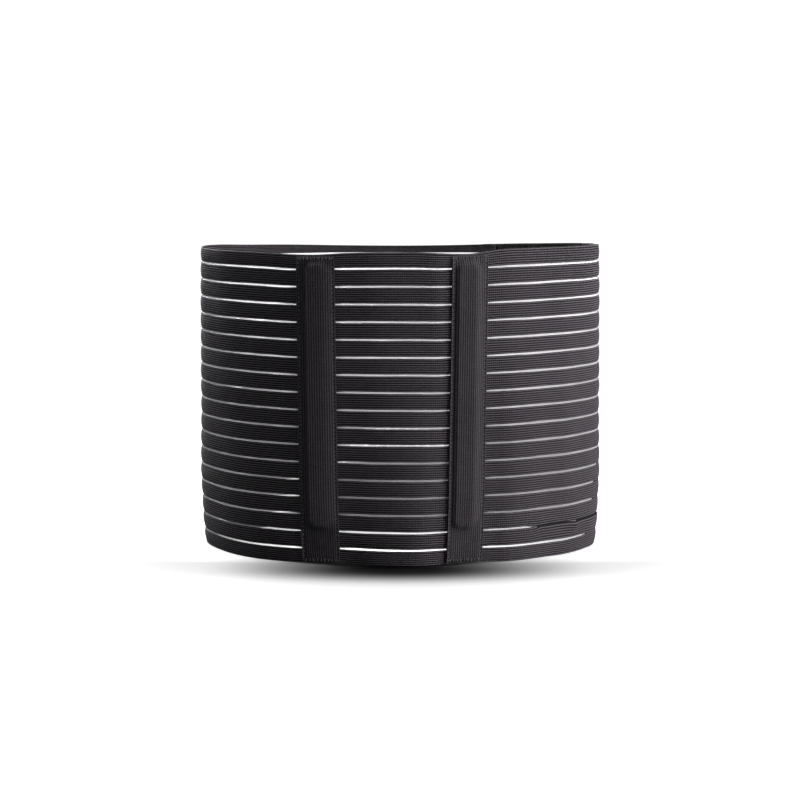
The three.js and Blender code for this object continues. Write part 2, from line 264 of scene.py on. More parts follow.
# %% [markdown]
# The CAD source moves the middle of the footprint to the origin as its last step. The same shift is
# found here by laying the walked outline over the box of the solid wall.

# %% Shift the plan onto the solid
def find_plan_middle(columns=2400, rows=60):
    low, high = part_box("elastic_wall")
    along = np.linspace(LEFT_END, RIGHT_END, columns)
    z = np.linspace(0, HEIGHT, rows)
    grid = on_wall(along[:, None], z[None, :], 0).reshape(-1, 3)
    middle = (grid.max(0) + grid.min(0)) / 2
    return np.array([
        middle[0] - (low[0] + high[0]) / 2,
        grid[:, 1].min() - low[1],
        0,
    ])


PLAN_MIDDLE = find_plan_middle()
print("plan middle:", [round(float(v) * 1000, 2) for v in PLAN_MIDDLE], "mm")

# %% [markdown]
# ## The camera
# The slits of the belt drop by a little more towards each side, which fixes how high and how far
# away the camera stood. Its lens comes from the size of the belt in the picture.

# %% Camera
CAMERA_DISTANCE = 2.0
CAMERA_HEIGHT = 0.3453
CAMERA_PITCH = math.radians(7.144)
PHOTO_SIZE = 800
FOCAL_PIXELS = 2623.4
LOWERED_PIXELS = 19.6
SENSOR_WIDTH = 36
FARTHEST_SEEN = 50

camera_data = bpy.data.cameras.new("camera")
camera_data.sensor_width = SENSOR_WIDTH
camera_data.lens = FOCAL_PIXELS / PHOTO_SIZE * SENSOR_WIDTH
camera_data.shift_y = LOWERED_PIXELS / PHOTO_SIZE
camera_data.clip_end = FARTHEST_SEEN
camera = bpy.data.objects.new("camera", camera_data)
camera.location = (-PLAN_MIDDLE[0], -CAMERA_DISTANCE - PLAN_MIDDLE[1], CAMERA_HEIGHT)
camera.rotation_euler = (math.pi / 2 - CAMERA_PITCH, 0, 0)
scene.collection.objects.link(camera)
scene.camera = camera
print("lens", round(camera_data.lens, 2), "mm")

# %% [markdown]
# ## The lights
# Black cloth shows its ribs only in light that grazes it. The key light is a softbox on the right,
# a little warm, so that the left side of the belt stays dark. It stands there twice, because one of
# the two is kept off the clear threads later. Two softboxes hang above the loop and light its
# inside, so that the slits glow. One stands behind it, and a weak fill stands near the camera.

# %% Lights
KEY_PLACE, KEY_AIM, KEY_SIZE = (1.25, -0.45, 0.52), (0, 0, 0.13), (0.9, 0.5)
KEY_COLOUR = (1.0, 0.955, 0.965)
# Place, aim, width and height in metres, power in watts, and a colour where it isn't white
LIGHTS = {
    "top_left": ((-0.5, 0.36, 1.5), (-0.1, 0.1, 0), (0.85, 0.28), 25),
    "top_right": ((0.5, 0.36, 1.5), (0.1, 0.1, 0), (0.85, 0.28), 24),
    "back_light": ((-0.57, 1.38, 0.98), (0, 0, 0.25), (1.0, 0.7), 57),
    "key_light": (KEY_PLACE, KEY_AIM, KEY_SIZE, 27, KEY_COLOUR),
    "key_on_cloth": (KEY_PLACE, KEY_AIM, KEY_SIZE, 18, KEY_COLOUR),
    "front_fill": ((0.1, -2.4, 0.9), (0, 0, 0.1), (1.4, 0.8), 9),
}


def softbox(name, place, aim, size, power, colour=(1, 1, 1)):
    data = bpy.data.lights.new(name, "AREA")
    data.shape = "RECTANGLE"
    data.size, data.size_y = size
    data.energy = power
    data.color = colour
    light = bpy.data.objects.new(name, data)
    light.location = place
    direction = Vector(np.array(aim) - np.array(place))
    light.rotation_euler = direction.to_track_quat("-Z", "Y").to_euler()
    light.visible_camera = False
    scene.collection.objects.link(light)
    return light


lights = {name: softbox(name, *values) for name, values in LIGHTS.items()}
print("lights:", ", ".join(lights))

# %% [markdown]
# ## The room
# The belt stands on a white floor in white surroundings, which light it only weakly. Like a studio
# floor that is overexposed, this one glows far from the belt and inside its loop. A painted shadow
# darkens its paper under the middle of the front, which deepens the cast shadow there. Worlds,
# floors and cloths are all node trees, so a few shorthands come first.

# %% Shorthands for nodes
def fill(node, inputs):
    for label, value in inputs.items():
        node.inputs[label].default_value = value


def node_of(tree, kind, inputs=None, **settings):
    """New node with its settings, and with numbers or colours in its input sockets."""
    node = tree.nodes.new(kind)
    for name, value in settings.items():
        setattr(node, name, value)
    fill(node, inputs or {})
    return node


def join(tree, *pairs):
    for start, end in pairs:
        tree.links.new(start, end)


def math_node(tree, operation, *values):
    node = node_of(tree, "ShaderNodeMath", operation=operation)
    for slot, value in enumerate(values):
        if isinstance(value, (int, float)):
            node.inputs[slot].default_value = value
        else:
            tree.links.new(value, node.inputs[slot])
    return node.outputs[0]


def vector_node(tree, operation, *values, scale=None):
    node = node_of(tree, "ShaderNodeVectorMath", operation=operation)
    for slot, value in enumerate(values):
        if isinstance(value, tuple):
            node.inputs[slot].default_value = value
        else:
            tree.links.new(value, node.inputs[slot])
    if scale is not None:
        tree.links.new(scale, node.inputs["Scale"])
    return node.outputs["Value" if operation == "LENGTH" else "Vector"]


def scaled(tree, value, low, high, start=0.0, end=1.0, kind="LINEAR"):
    """The value, with its span from `start` to `end` stretched to that from `low` to `high`."""
    node = node_of(
        tree, "ShaderNodeMapRange",
        {"From Min": start, "From Max": end, "To Min": low, "To Max": high}, interpolation_type=kind,
    )
    tree.links.new(value, node.inputs["Value"])
    return node.outputs["Result"]


def grey_of(tree, value):
    node = node_of(tree, "ShaderNodeCombineColor")
    join(tree, *((value, channel) for channel in node.inputs))
    return node.outputs[0]


# %% White surroundings, bright to the camera and dim as a light
SURROUNDINGS_LIGHT = 0.07
SURROUNDINGS_SEEN = 1.1

world = bpy.data.worlds.new("studio")
world.use_nodes = True
scene.world = world
world_tree = world.node_tree
world_tree.nodes.clear()
mixed = node_of(world_tree, "ShaderNodeMixShader")
seen = node_of(world_tree, "ShaderNodeLightPath").outputs["Is Camera Ray"]
world_out = node_of(world_tree, "ShaderNodeOutputWorld")
join(world_tree, (seen, mixed.inputs[0]), (mixed.outputs[0], world_out.inputs["Surface"]))
for slot, strength in enumerate((SURROUNDINGS_LIGHT, SURROUNDINGS_SEEN), 1):
    shade = {"Color": (1, 1, 1, 1), "Strength": strength}
    white = node_of(world_tree, "ShaderNodeBackground", shade)
    world_tree.links.new(white.outputs[0], mixed.inputs[slot])
    print("surroundings:", strength, "as", "seen" if slot == 2 else "light")

scene.view_settings.view_transform = "Standard"
scene.view_settings.look = "None"
scene.view_settings.exposure = 0
scene.view_settings.gamma = 1

# %% White floor
FLOOR_RADIUS = 1.1
FLOOR_CORNERS = 96

floor_mesh = bpy.data.meshes.new("floor")
rim_angles = [2 * math.pi * i / FLOOR_CORNERS for i in range(FLOOR_CORNERS)]
floor_mesh.from_pydata(
    [(FLOOR_RADIUS * math.cos(a), FLOOR_RADIUS * math.sin(a), 0) for a in rim_angles],
    [], [list(range(FLOOR_CORNERS))],
)
floor = bpy.data.objects.new("floor", floor_mesh)
scene.collection.objects.link(floor)
floor.visible_diffuse = False
floor.visible_transmission = False
print("floor:", 2 * FLOOR_RADIUS, "m across")

# %% Finish of the floor
FLOOR_WHITE = 0.9
FLOOR_DARKEST = 0.02
GLOW_STRENGTH = 0.7
GLOW_IN_LOOP = 0.55
GLOW_START, GLOW_FULL = 0.14, 0.36  # distance from the middle of the loop
LOOP_EDGE, LOOP_INSIDE = -0.085, -0.06  # just behind the front wall
CONTACT_MIDDLE = (0.0, -0.112, 0.0)
CONTACT_REACH = (0.142, 0.058, 1.0)
CONTACT_CORE, CONTACT_RIM = 0.1, 1.15  # where the painted shadow starts and ends, in its own reach


def white_paper():
    material = bpy.data.materials.new("white_paper_floor")
    material.use_nodes = True
    tree = material.node_tree
    shader = tree.nodes["Principled BSDF"]
    fill(shader, {"Roughness": 0.9, "Specular IOR Level": 0.1, "Emission Color": (1, 1, 1, 1)})
    place = node_of(tree, "ShaderNodeTexCoord").outputs["Object"]
    far_glow = scaled(
        tree, vector_node(tree, "LENGTH", place), 0.0, GLOW_STRENGTH,
        GLOW_START, GLOW_FULL, "SMOOTHSTEP",
    )
    from_contact = vector_node(
        tree, "DIVIDE", vector_node(tree, "SUBTRACT", place, CONTACT_MIDDLE), CONTACT_REACH
    )
    # Painted shadow: the floor's colour falls to FLOOR_DARKEST in a patch before the middle of the
    # front wall
    painted_contact_shadow = scaled(
        tree, vector_node(tree, "LENGTH", from_contact), FLOOR_DARKEST, FLOOR_WHITE,
        CONTACT_CORE, CONTACT_RIM, "SMOOTHERSTEP",
    )
    parts = node_of(tree, "ShaderNodeSeparateXYZ")
    tree.links.new(place, parts.inputs[0])
    inside_loop = scaled(tree, parts.outputs["Y"], 0.0, FLOOR_WHITE, LOOP_EDGE, LOOP_INSIDE)
    tone = math_node(tree, "MAXIMUM", painted_contact_shadow, inside_loop)
    loop_glow = math_node(tree, "MULTIPLY", inside_loop, GLOW_IN_LOOP)
    glow = math_node(tree, "MAXIMUM", far_glow, loop_glow)
    join(
        tree, (grey_of(tree, tone), shader.inputs["Base Color"]),
        (glow, shader.inputs["Emission Strength"]),
    )
    print(f"{material.name}: {len(tree.nodes)} nodes")
    return material


floor_mesh.materials.append(white_paper())


# %% Lights that are kept off the floor, so that its shadow stays soft and deep
def keep_off(label, things, names):
    """Let the named lights shine on everything but the given things."""
    group = bpy.data.collections.new(label)
    for thing in things:
        group.objects.link(thing)
    for entry in group.collection_objects:
        entry.light_linking.link_state = "EXCLUDE"
    for name in names:
        lights[name].light_linking.receiver_collection = group
        print(f"{name} shines past", ", ".join(thing.name for thing in things))


keep_off("flagged_floor", [floor], ["back_light", "key_light", "front_fill"])

# %% [markdown]
# ## Cloth meshes
# A sheet of cloth is a grid of points for its outer face, a second grid for its inner face, and a
# strip of faces that closes it all round. Each point also keeps its flat place as a UV coordinate,
# one unit to the metre, so that a weave drawn on it is as large as the real one.

# %% A closed sheet from an outer and an inner grid
def grid_faces(columns, rows, first_outer, first_inner):
    outer = first_outer + np.arange(columns * rows).reshape(columns, rows)
    inner = first_inner + np.arange(columns * rows).reshape(columns, rows)

    def quads(a, b, c, d):
        return np.stack([a.ravel(), b.ravel(), c.ravel(), d.ravel()], -1)

    return np.concatenate([
        quads(outer[:-1, :-1], outer[1:, :-1], outer[1:, 1:], outer[:-1, 1:]),
        quads(inner[:-1, :-1], inner[:-1, 1:], inner[1:, 1:], inner[1:, :-1]),
        quads(outer[1:, 0], outer[:-1, 0], inner[:-1, 0], inner[1:, 0]),
        quads(outer[:-1, -1], outer[1:, -1], inner[1:, -1], inner[:-1, -1]),
        quads(outer[0, :-1], outer[0, 1:], inner[0, 1:], inner[0, :-1]),
        quads(outer[-1, 1:], outer[-1, :-1], inner[-1, :-1], inner[-1, 1:]),
    ])


def mesh_from(name, points, faces, uv, attributes):
    mesh = bpy.data.meshes.new(name)
    mesh.vertices.add(len(points))
    mesh.vertices.foreach_set("co", np.ascontiguousarray(points, np.float32).ravel())
    mesh.loops.add(faces.size)
    mesh.loops.foreach_set("vertex_index", faces.astype(np.int32).ravel())
    mesh.polygons.add(len(faces))
    mesh.polygons.foreach_set("loop_start", np.arange(0, faces.size, 4, dtype=np.int32))
    mesh.polygons.foreach_set("use_smooth", np.ones(len(faces), bool))
    mesh.update(calc_edges=True)
    layer = mesh.uv_layers.new(name="cloth")
    layer.data.foreach_set("uv", np.ascontiguousarray(uv[faces.ravel()], np.float32).ravel())
    for label, values in attributes.items():
        kind, key = ("FLOAT_VECTOR", "vector") if values.ndim == 2 else ("FLOAT", "value")
        attribute = mesh.attributes.new(label, kind, "POINT")
        attribute.data.foreach_set(key, np.ascontiguousarray(values, np.float32).ravel())
    return mesh


def sheets_mesh(name, sheets):
    """One mesh from several sheets, each a dict of grids with a value for every point.

    `outer` and `inner` are the two faces, `uv` the flat place, `push_outer` and `push_inner` the
    ways out of the cloth, and `rib_place` counts the ribs up to that point.
    """
    points, faces, uv, push, place = [], [], [], [], []
    count = 0
    for sheet in sheets:
        columns, rows = sheet["outer"].shape[:2]
        size = columns * rows
        faces.append(grid_faces(columns, rows, count, count + size))
        points += [sheet["outer"].reshape(-1, 3), sheet["inner"].reshape(-1, 3)]
        uv += [sheet["uv"].reshape(-1, 2)] * 2
        push += [sheet["push_outer"].reshape(-1, 3), sheet["push_inner"].reshape(-1, 3)]
        place += [sheet["rib_place"].ravel()] * 2
        count += 2 * size
    return mesh_from(
        name, np.concatenate(points), np.concatenate(faces), np.concatenate(uv),
        {"push": np.concatenate(push), "rib_place": np.concatenate(place)},
    )


# %% A slow wander for hand-made lines
# Seed, and the lengths of the waves in metres
WANDERS = {
    "slit_place": (100, (0.31, 0.12, 0.05)),
    "slit_height": (200, (0.2, 0.07, 0.025)),
    "wall": (7, (0.16, 0.09, 0.045)),
    "left_slack": (31, (0.09, 0.05, 0.03)),
    "right_slack": (47, (0.09, 0.05, 0.03)),
    "pile": (77, (0.12, 0.06, 0.035)),
}


def wander(along, name, number=0):
    """Smooth uneven value between about -1 and 1, the same in each run."""
    seed, wave_lengths = WANDERS[name]
    chance = np.random.default_rng(seed + number)
    value = np.zeros_like(np.asarray(along, float))
    for wave in wave_lengths:
        turns = max(1, round(GIRTH / wave))
        value += chance.uniform(0.5, 1) * np.sin(
            2 * math.pi * (turns * along / GIRTH + chance.random())
        )
    return value / (0.75 * len(wave_lengths))


# %% [markdown]
# ## Geometry Nodes helpers
# Ribs, ladder threads and stitches repeat along the cloth, so each is a node tree with its sizes as
# named inputs. The tree runs once on a base mesh, and its result is kept as a plain mesh.

# %% Build a tree and run it once
def new_tree(name, inputs):
    tree = bpy.data.node_groups.new(name, "GeometryNodeTree")
    tree.is_modifier = True
    tree.interface.new_socket("Geometry", in_out="INPUT", socket_type="NodeSocketGeometry")
    for label, kind, value in inputs:
        socket = tree.interface.new_socket(label, in_out="INPUT", socket_type=kind)
        if value is not None:
            socket.default_value = value
    tree.interface.new_socket("Geometry", in_out="OUTPUT", socket_type="NodeSocketGeometry")
    group_in = node_of(tree, "NodeGroupInput")
    return tree, group_in


def named(tree, label, kind="FLOAT"):
    node = node_of(tree, "GeometryNodeInputNamedAttribute", {"Name": label}, data_type=kind)
    return node.outputs["Attribute"]


def finish_tree(tree, geometry, material):
    """Realize Instances and Set Material end every tree, because an export drops instances."""
    real = node_of(tree, "GeometryNodeRealizeInstances")
    painted = node_of(tree, "GeometryNodeSetMaterial")
    out = node_of(tree, "NodeGroupOutput")
    join(
        tree, (geometry, real.inputs[0]), (real.outputs[0], painted.inputs["Geometry"]),
        (material, painted.inputs["Material"]), (painted.outputs[0], out.inputs[0]),
    )
    print(f"{tree.name}: {len(tree.nodes)} nodes")


def run_tree(name, base, tree, values):
    carrier = bpy.data.objects.new(name + "_base", base)
    scene.collection.objects.link(carrier)
    modifier = carrier.modifiers.new("nodes", "NODES")
    modifier.node_group = tree
    for item in tree.interface.items_tree:
        if item.item_type == "SOCKET" and item.in_out == "INPUT" and item.name in values:
            modifier[item.identifier] = values[item.name]
    depsgraph = bpy.context.evaluated_depsgraph_get()
    made = bpy.data.meshes.new_from_object(
        carrier.evaluated_get(depsgraph), preserve_all_data_layers=True, depsgraph=depsgraph
    )
    made.name = name
    bpy.data.objects.remove(carrier)
    for label in ("push", "rib_place", "rise"):
        if label in made.attributes:
            made.attributes.remove(made.attributes[label])
    piece = bpy.data.objects.new(name, made)
    scene.collection.objects.link(piece)
    triangles = sum(len(face.vertices) - 2 for face in made.polygons)
    print(f"{name}: {triangles} triangles")
    return piece


# %% The tree that presses ribs into a sheet
# A rib is one hump of a sine between its two valleys. The crowns stay where the sheet is, and the
# valleys go in by the rib depth.
def hump(tree, turns):
    """0 at whole numbers and 1 halfway between them."""
    wave = math_node(tree, "SINE", math_node(tree, "MULTIPLY", turns, math.pi))
    return math_node(tree, "ABSOLUTE", wave)


def build_rib_tree():
    tree, group_in = new_tree("pressed_ribs", [
        ("Rib Depth", "NodeSocketFloat", 0.4 * MM),
        ("Material", "NodeSocketMaterial", None),
    ])
    sink = math_node(tree, "SUBTRACT", hump(tree, named(tree, "rib_place")), 1.0)
    depth = math_node(tree, "MULTIPLY", sink, group_in.outputs["Rib Depth"])
    offset = vector_node(tree, "SCALE", named(tree, "push", "FLOAT_VECTOR"), scale=depth)
    move = node_of(tree, "GeometryNodeSetPosition")
    join(
        tree, (group_in.outputs["Geometry"], move.inputs["Geometry"]),
        (offset, move.inputs["Offset"]),
    )
    finish_tree(tree, move.outputs[0], group_in.outputs["Material"])
    return tree


rib_tree = build_rib_tree()

# %% [markdown]
# ## Materials
# Black cloth is never one flat black. The ribs are rubber cords wound with polyester yarn, and the
# yarn crosses each rib in small slanted turns. Shade is painted into the valleys of the ribs and a
# highlight onto their crowns. All of this is drawn by nodes in the cloth's own UV, where one unit is
# a metre.

# %% Node shorthands for materials
def new_material(name):
    material = bpy.data.materials.new(name)
    material.use_nodes = True
    tree = material.node_tree
    return material, tree, tree.nodes["Principled BSDF"]


def cloth_uv(tree):
    uv = node_of(tree, "ShaderNodeUVMap", uv_map="cloth")
    parts = node_of(tree, "ShaderNodeSeparateXYZ")
    tree.links.new(uv.outputs[0], parts.inputs[0])
    return uv.outputs[0], parts.outputs["X"], parts.outputs["Y"]


def noise(tree, scale, detail=3.0, roughness=0.5, coordinates=None):
    node = node_of(
        tree, "ShaderNodeTexNoise", {"Scale": scale, "Detail": detail, "Roughness": roughness}
    )
    if coordinates is None:
        coordinates = node_of(tree, "ShaderNodeTexCoord").outputs["Object"]
    tree.links.new(coordinates, node.inputs["Vector"])
    return node.outputs["Fac"]


def blend(tree, *parts):
    """Sum of values, each times its weight."""
    (value, weight), *others = parts
    term = math_node(tree, "MULTIPLY", value, weight)
    return math_node(tree, "ADD", term, blend(tree, *others)) if others else term


def ramp(tree, value, stops):
    node = node_of(tree, "ShaderNodeValToRGB")
    elements = node.color_ramp.elements
    while len(elements) < len(stops):
        elements.new(0.5)
    for element, (place, colour) in zip(elements, stops):
        element.position = place
        element.color = (*colour, 1)
    tree.links.new(value, node.inputs[0])
    return node.outputs["Color"]


def multiply_colour(tree, colour, amount):
    node = node_of(
        tree, "ShaderNodeMix", {"Factor": 1.0}, data_type="RGBA", blend_type="MULTIPLY"
    )
    join(tree, (colour, node.inputs[6]), (amount, node.inputs[7]))
    return node.outputs[2]


def bump(tree, shader, height, distance, strength=1.0):
    node = node_of(tree, "ShaderNodeBump", {"Strength": strength, "Distance": distance})
    join(tree, (height, node.inputs["Height"]), (node.outputs[0], shader.inputs["Normal"]))


# %% Ribbed cloth: webbing and tape
RIBS_PER_BAND = 7
RIB_PITCH = BAND_HEIGHT / RIBS_PER_BAND
RIBS_PER_STEP = 8  # ribs that fit from one band to the next, the slit counted as one
TAPE_RIBS = 17
TAPE_RIB_PITCH = TAPE_WIDTH / TAPE_RIBS
YARN_PITCH = 0.75 * MM
PICK_PITCH = 1.6 * MM  # crosswise threads, which dimple every rib at the same place


def ribbed_cloth(name, rib_axis, rib_pitch, sharpness, shades, dark, light):
    """Cloth with cords that run along one axis, each wound with slanted yarn.

    `sharpness` says how fast the painted shade falls from the crown of a rib into its valley, and
    `shades` how much of the colour the painted valley shade and the painted crown highlight show.
    """
    material, tree, shader = new_material(name)
    uv, u, v = cloth_uv(tree)
    across, along = (v, u) if rib_axis == "along" else (u, v)
    patches = noise(tree, scale=14, detail=4, roughness=0.6)
    fine = noise(tree, scale=420, detail=3, roughness=0.6)
    wobble = noise(tree, scale=900, detail=2, coordinates=uv)

    ribs = math_node(tree, "DIVIDE", across, rib_pitch)
    inside = math_node(tree, "PINGPONG", ribs, 0.5)
    windings = math_node(tree, "DIVIDE", along, YARN_PITCH)
    slant = math_node(tree, "ADD", windings, math_node(tree, "MULTIPLY", inside, 0.8))
    yarn = hump(tree, math_node(tree, "ADD", slant, math_node(tree, "MULTIPLY", wobble, 0.9)))
    pick = hump(tree, math_node(tree, "ADD", math_node(tree, "DIVIDE", along, PICK_PITCH), wobble))

    colour = ramp(tree, blend(tree, (patches, 0.55), (fine, 0.45)), [(0.25, dark), (0.75, light)])
    # Painted shade and highlight: the colour darkens into the rib valleys and brightens on the
    # crowns, and it also varies with the yarn turns and the picks
    shade = math_node(
        tree, "MULTIPLY",
        scaled(tree, math_node(tree, "POWER", hump(tree, ribs), sharpness), *shades),
        math_node(tree, "MULTIPLY", scaled(tree, yarn, 0.85, 1.0), scaled(tree, pick, 0.6, 1.15)),
    )
    join(
        tree, (multiply_colour(tree, colour, grey_of(tree, shade)), shader.inputs["Base Color"]),
        (scaled(tree, fine, 0.62, 0.85), shader.inputs["Roughness"]),
    )
    bump(tree, shader, blend(tree, (yarn, 0.35), (fine, 0.3), (pick, 0.7)), 0.22 * MM, 0.9)
    fill(shader, {
        "Specular IOR Level": 0.08, "Sheen Weight": 0.03, "Sheen Roughness": 0.5,
        "Sheen Tint": (0.8, 0.8, 0.85, 1),
    })
    return material


webbing_material = ribbed_cloth(
    "ribbed_elastic_webbing", "along", RIB_PITCH, 4.5, (0.02, 2.5),
    (0.027, 0.0245, 0.0285), (0.046, 0.0425, 0.048),
)
tape_material = ribbed_cloth(
    "ribbed_stay_tape", "upright", TAPE_RIB_PITCH, 2.0, (0.25, 1.55),
    (0.022, 0.0205, 0.0235), (0.041, 0.038, 0.043),
)

# %% Clear ladder threads
THREAD_TRANSLUCENCE = 0.85  # how much of the thread glows with light from behind
THREAD_CLEARNESS = 0.4  # how much of what lies behind it shows


def clear_thread():
    """Clear nylon looks white: most light goes through it or off it, hardly any is swallowed."""
    material, tree, shader = new_material("clear_ladder_thread")
    streaks = noise(tree, scale=260, detail=2)
    colour = ramp(tree, streaks, [(0.3, (0.76, 0.76, 0.77)), (0.7, (0.88, 0.875, 0.885))])
    fill(shader, {"Roughness": 0.35, "Specular IOR Level": 0.5})
    through = node_of(tree, "ShaderNodeBsdfTranslucent", {"Color": (0.94, 0.935, 0.95, 1)})
    clear = node_of(tree, "ShaderNodeBsdfTransparent")
    glowing = node_of(tree, "ShaderNodeMixShader", {0: THREAD_TRANSLUCENCE})
    partly_clear = node_of(tree, "ShaderNodeMixShader", {0: THREAD_CLEARNESS})
    join(
        tree, (colour, shader.inputs["Base Color"]),
        (shader.outputs[0], glowing.inputs[1]), (through.outputs[0], glowing.inputs[2]),
        (glowing.outputs[0], partly_clear.inputs[1]), (clear.outputs[0], partly_clear.inputs[2]),
        (partly_clear.outputs[0], tree.nodes["Material Output"].inputs["Surface"]),
    )
    return material


# %% Stitching yarn, brushed pile and stay plastic
def sewing_yarn():
    material, tree, shader = new_material("black_sewing_yarn")
    plies = noise(tree, scale=1600, detail=2)
    colour = ramp(tree, plies, [(0.3, (0.038, 0.036, 0.04)), (0.7, (0.085, 0.081, 0.088))])
    join(
        tree, (colour, shader.inputs["Base Color"]),
        (scaled(tree, plies, 0.4, 0.6), shader.inputs["Roughness"]),
    )
    bump(tree, shader, plies, 0.08 * MM)
    fill(shader, {"Specular IOR Level": 0.35})
    return material


def brushed_pile():
    """Loop pile: a mat of fine loops with lighter and darker clouds where it was brushed."""
    material, tree, shader = new_material("brushed_loop_pile")
    clouds = noise(tree, scale=45, detail=4, roughness=0.6)
    loops = noise(tree, scale=520, detail=4, roughness=0.75)
    tone = blend(tree, (clouds, 0.45), (loops, 0.55))
    colour = ramp(tree, tone, [(0.36, (0.004, 0.004, 0.004)), (0.62, (0.03, 0.028, 0.03))])
    join(
        tree, (colour, shader.inputs["Base Color"]),
        (scaled(tree, clouds, 0.85, 1.0), shader.inputs["Roughness"]),
    )
    bump(tree, shader, loops, 1.6 * MM)
    fill(shader, {"Specular IOR Level": 0.1, "Sheen Weight": 0.04, "Sheen Roughness": 0.6})
    return material


def stay_plastic():
    material, tree, shader = new_material("moulded_stay_plastic")
    mottle, grain = noise(tree, scale=60), noise(tree, scale=2400, detail=2)
    colour = ramp(tree, mottle, [(0.3, (0.6, 0.6, 0.57)), (0.7, (0.74, 0.74, 0.72))])
    join(
        tree, (colour, shader.inputs["Base Color"]),
        (scaled(tree, mottle, 0.42, 0.55), shader.inputs["Roughness"]),
    )
    bump(tree, shader, grain, 0.03 * MM)
    return material


thread_material = clear_thread()
yarn_material = sewing_yarn()
pile_material = brushed_pile()
plastic_material = stay_plastic()
print("finishes:", ", ".join(material.name for material in bpy.data.materials))

# %% [markdown]
# ## The elastic webbing
# Each band is one closed strip from one end of the webbing to the other. Its seven ribs are real
# relief, because they catch the light from the side and notch the outline. The bands swell a little
# between the slits, and no slit is perfectly straight. The stitching of the tapes gathers the slits
# beside them. Low on the right the belt is squeezed: the lowest slits close there, and past the end
# of the second one the band below it folds in, which shows as a dark line with a pucker in it.

# %% Edges of the bands
WEB_COLUMNS = 176
ROWS_PER_RIB = 5
SLIT_WANDER = 0.13 * MM
SLIT_OPENNESS = 0.93  # share of a slit's height that the swollen bands leave open
SLIT_UNEVENNESS = 0.12
FOLDED_SLIT = 2
FOLD_REACH = 15 * MM
SHUT_REACH = 7 * MM
# The slits open again behind the right side: share of the half width, length past it and reach
SHUT_END_ACROSS, SHUT_END_PAST, SHUT_END_REACH = 0.985, 26 * MM, 14 * MM
SHUT_OVERLAP = 1.1  # the edges of a shut slit pass each other a little
FOLD_NARROWING, FOLD_NECK = 0.15, 3.4
TAPE_PINCH, TAPE_PINCH_REACH = 0.45, 3.5 * MM
BACK_START, BACK_BLEND = 0.2, 0.125  # shares of the girth, from the middle of the front
BACK_SLIT_DROP = 0.5 * MM
web_along = np.linspace(LEFT_END, RIGHT_END, WEB_COLUMNS)


def shut_share(slit, along):
    """How far a slit is shut at a place, from 0 to 1."""
    if slit not in SHUT_SLITS:
        return np.zeros_like(along)
    start = front_length(SHUT_SLITS[slit])
    end = front_length(SHUT_END_ACROSS) + SHUT_END_PAST
    reach = FOLD_REACH if slit == FOLDED_SLIT else SHUT_REACH
    return smooth((along - start) / reach) * smooth((end - along) / SHUT_END_REACH)


def near_tape(slit, along):
    """1 at the edge of a tape, where the stitching gathers the slit, and 0 away from it."""
    z = slit_middle(slit)
    off = [np.abs(np.abs(along - casing_middle(side, z)) - TAPE_WIDTH / 2) for side in CASINGS]
    return bell(np.minimum(*off) / TAPE_PINCH_REACH)


def slit_edges(slit, along):
    """Lower and upper edge of a slit, uneven as woven elastic is, and narrower where it shuts."""
    middle = slit_middle(slit) + SLIT_WANDER * wander(along, "slit_place", slit)
    uneven = 1 + SLIT_UNEVENNESS * wander(along, "slit_height", slit)
    half = SLIT_OPENNESS * SLIT_HEIGHT / 2 * uneven
    shut = shut_share(slit, along)
    if slit == FOLDED_SLIT:
        # It tapers to a point, and past the point the fold opens as a dark line
        half = half * (1 - FOLD_NARROWING * shut) * (1 - FOLD_NECK * shut * (1 - shut))
    else:
        half = half * (1 - SHUT_OVERLAP * shut)
    half = half * (1 - TAPE_PINCH * near_tape(slit, along))
    if slit == SLIT_COUNT:
        middle = middle - BACK_SLIT_DROP * smooth((np.abs(along) / GIRTH - BACK_START) / BACK_BLEND)
    return middle - half, middle + half


def band_edges(band, along):
    """Foot and top of a band, counted from 0 at the foot of the belt."""
    low = np.zeros_like(along) if band == 0 else slit_edges(band, along)[1]
    high = rim_height(along) if band == BAND_COUNT - 1 else slit_edges(band + 1, along)[0]
    return low, high


# %% One band as a pair of grids
BAND_SWELL = 0.65 * MM
INNER_SWELL = 0.4  # share of the swell that shows on the inner face
WALL_UNEVENNESS = 0.35 * MM
WALL_SLANT = 0.15  # how far the unevenness leans as it goes up
# Each pair is a start and a reach: of the fold in how far the slit is shut, of the rest in the
# height of the band. The part of the band above FOLD_EDGE is the one that folds in.
FOLD_OPENS = (0.4, 0.5)
FOLD_EDGE = 0.87
FOLD_RISES = (0.9, 0.1)
FOLD_SINKS = (0.83, 0.07)
FOLD_DEPTH = 5 * MM
FOLD_RISE = 2.6 * MM
PUCKER_ACROSS = 0.87
PUCKER_REACH = 5 * MM
PUCKER_HEIGHT = 1.1 * MM
PUCKER_LIFT = 0.9 * SLIT_HEIGHT
PUCKER_RISES = (0.6, 0.4)
PUCKER_SPAN = (0.2, 0.85)


def ease(value, span):
    start, reach = span
    return smooth((value - start) / reach)


def web_offset(along, z):
    """Small unevenness of the whole wall, in and out."""
    return WALL_UNEVENNESS * wander(along + WALL_SLANT * z, "wall")


def fold_and_pucker(along):
    """How far the squeezed band is folded away at a place, and how far it comes forward again."""
    pucker = bell((along - front_length(PUCKER_ACROSS)) / PUCKER_REACH)
    return ease(shut_share(FOLDED_SLIT, along), FOLD_OPENS) * (1 - pucker), pucker


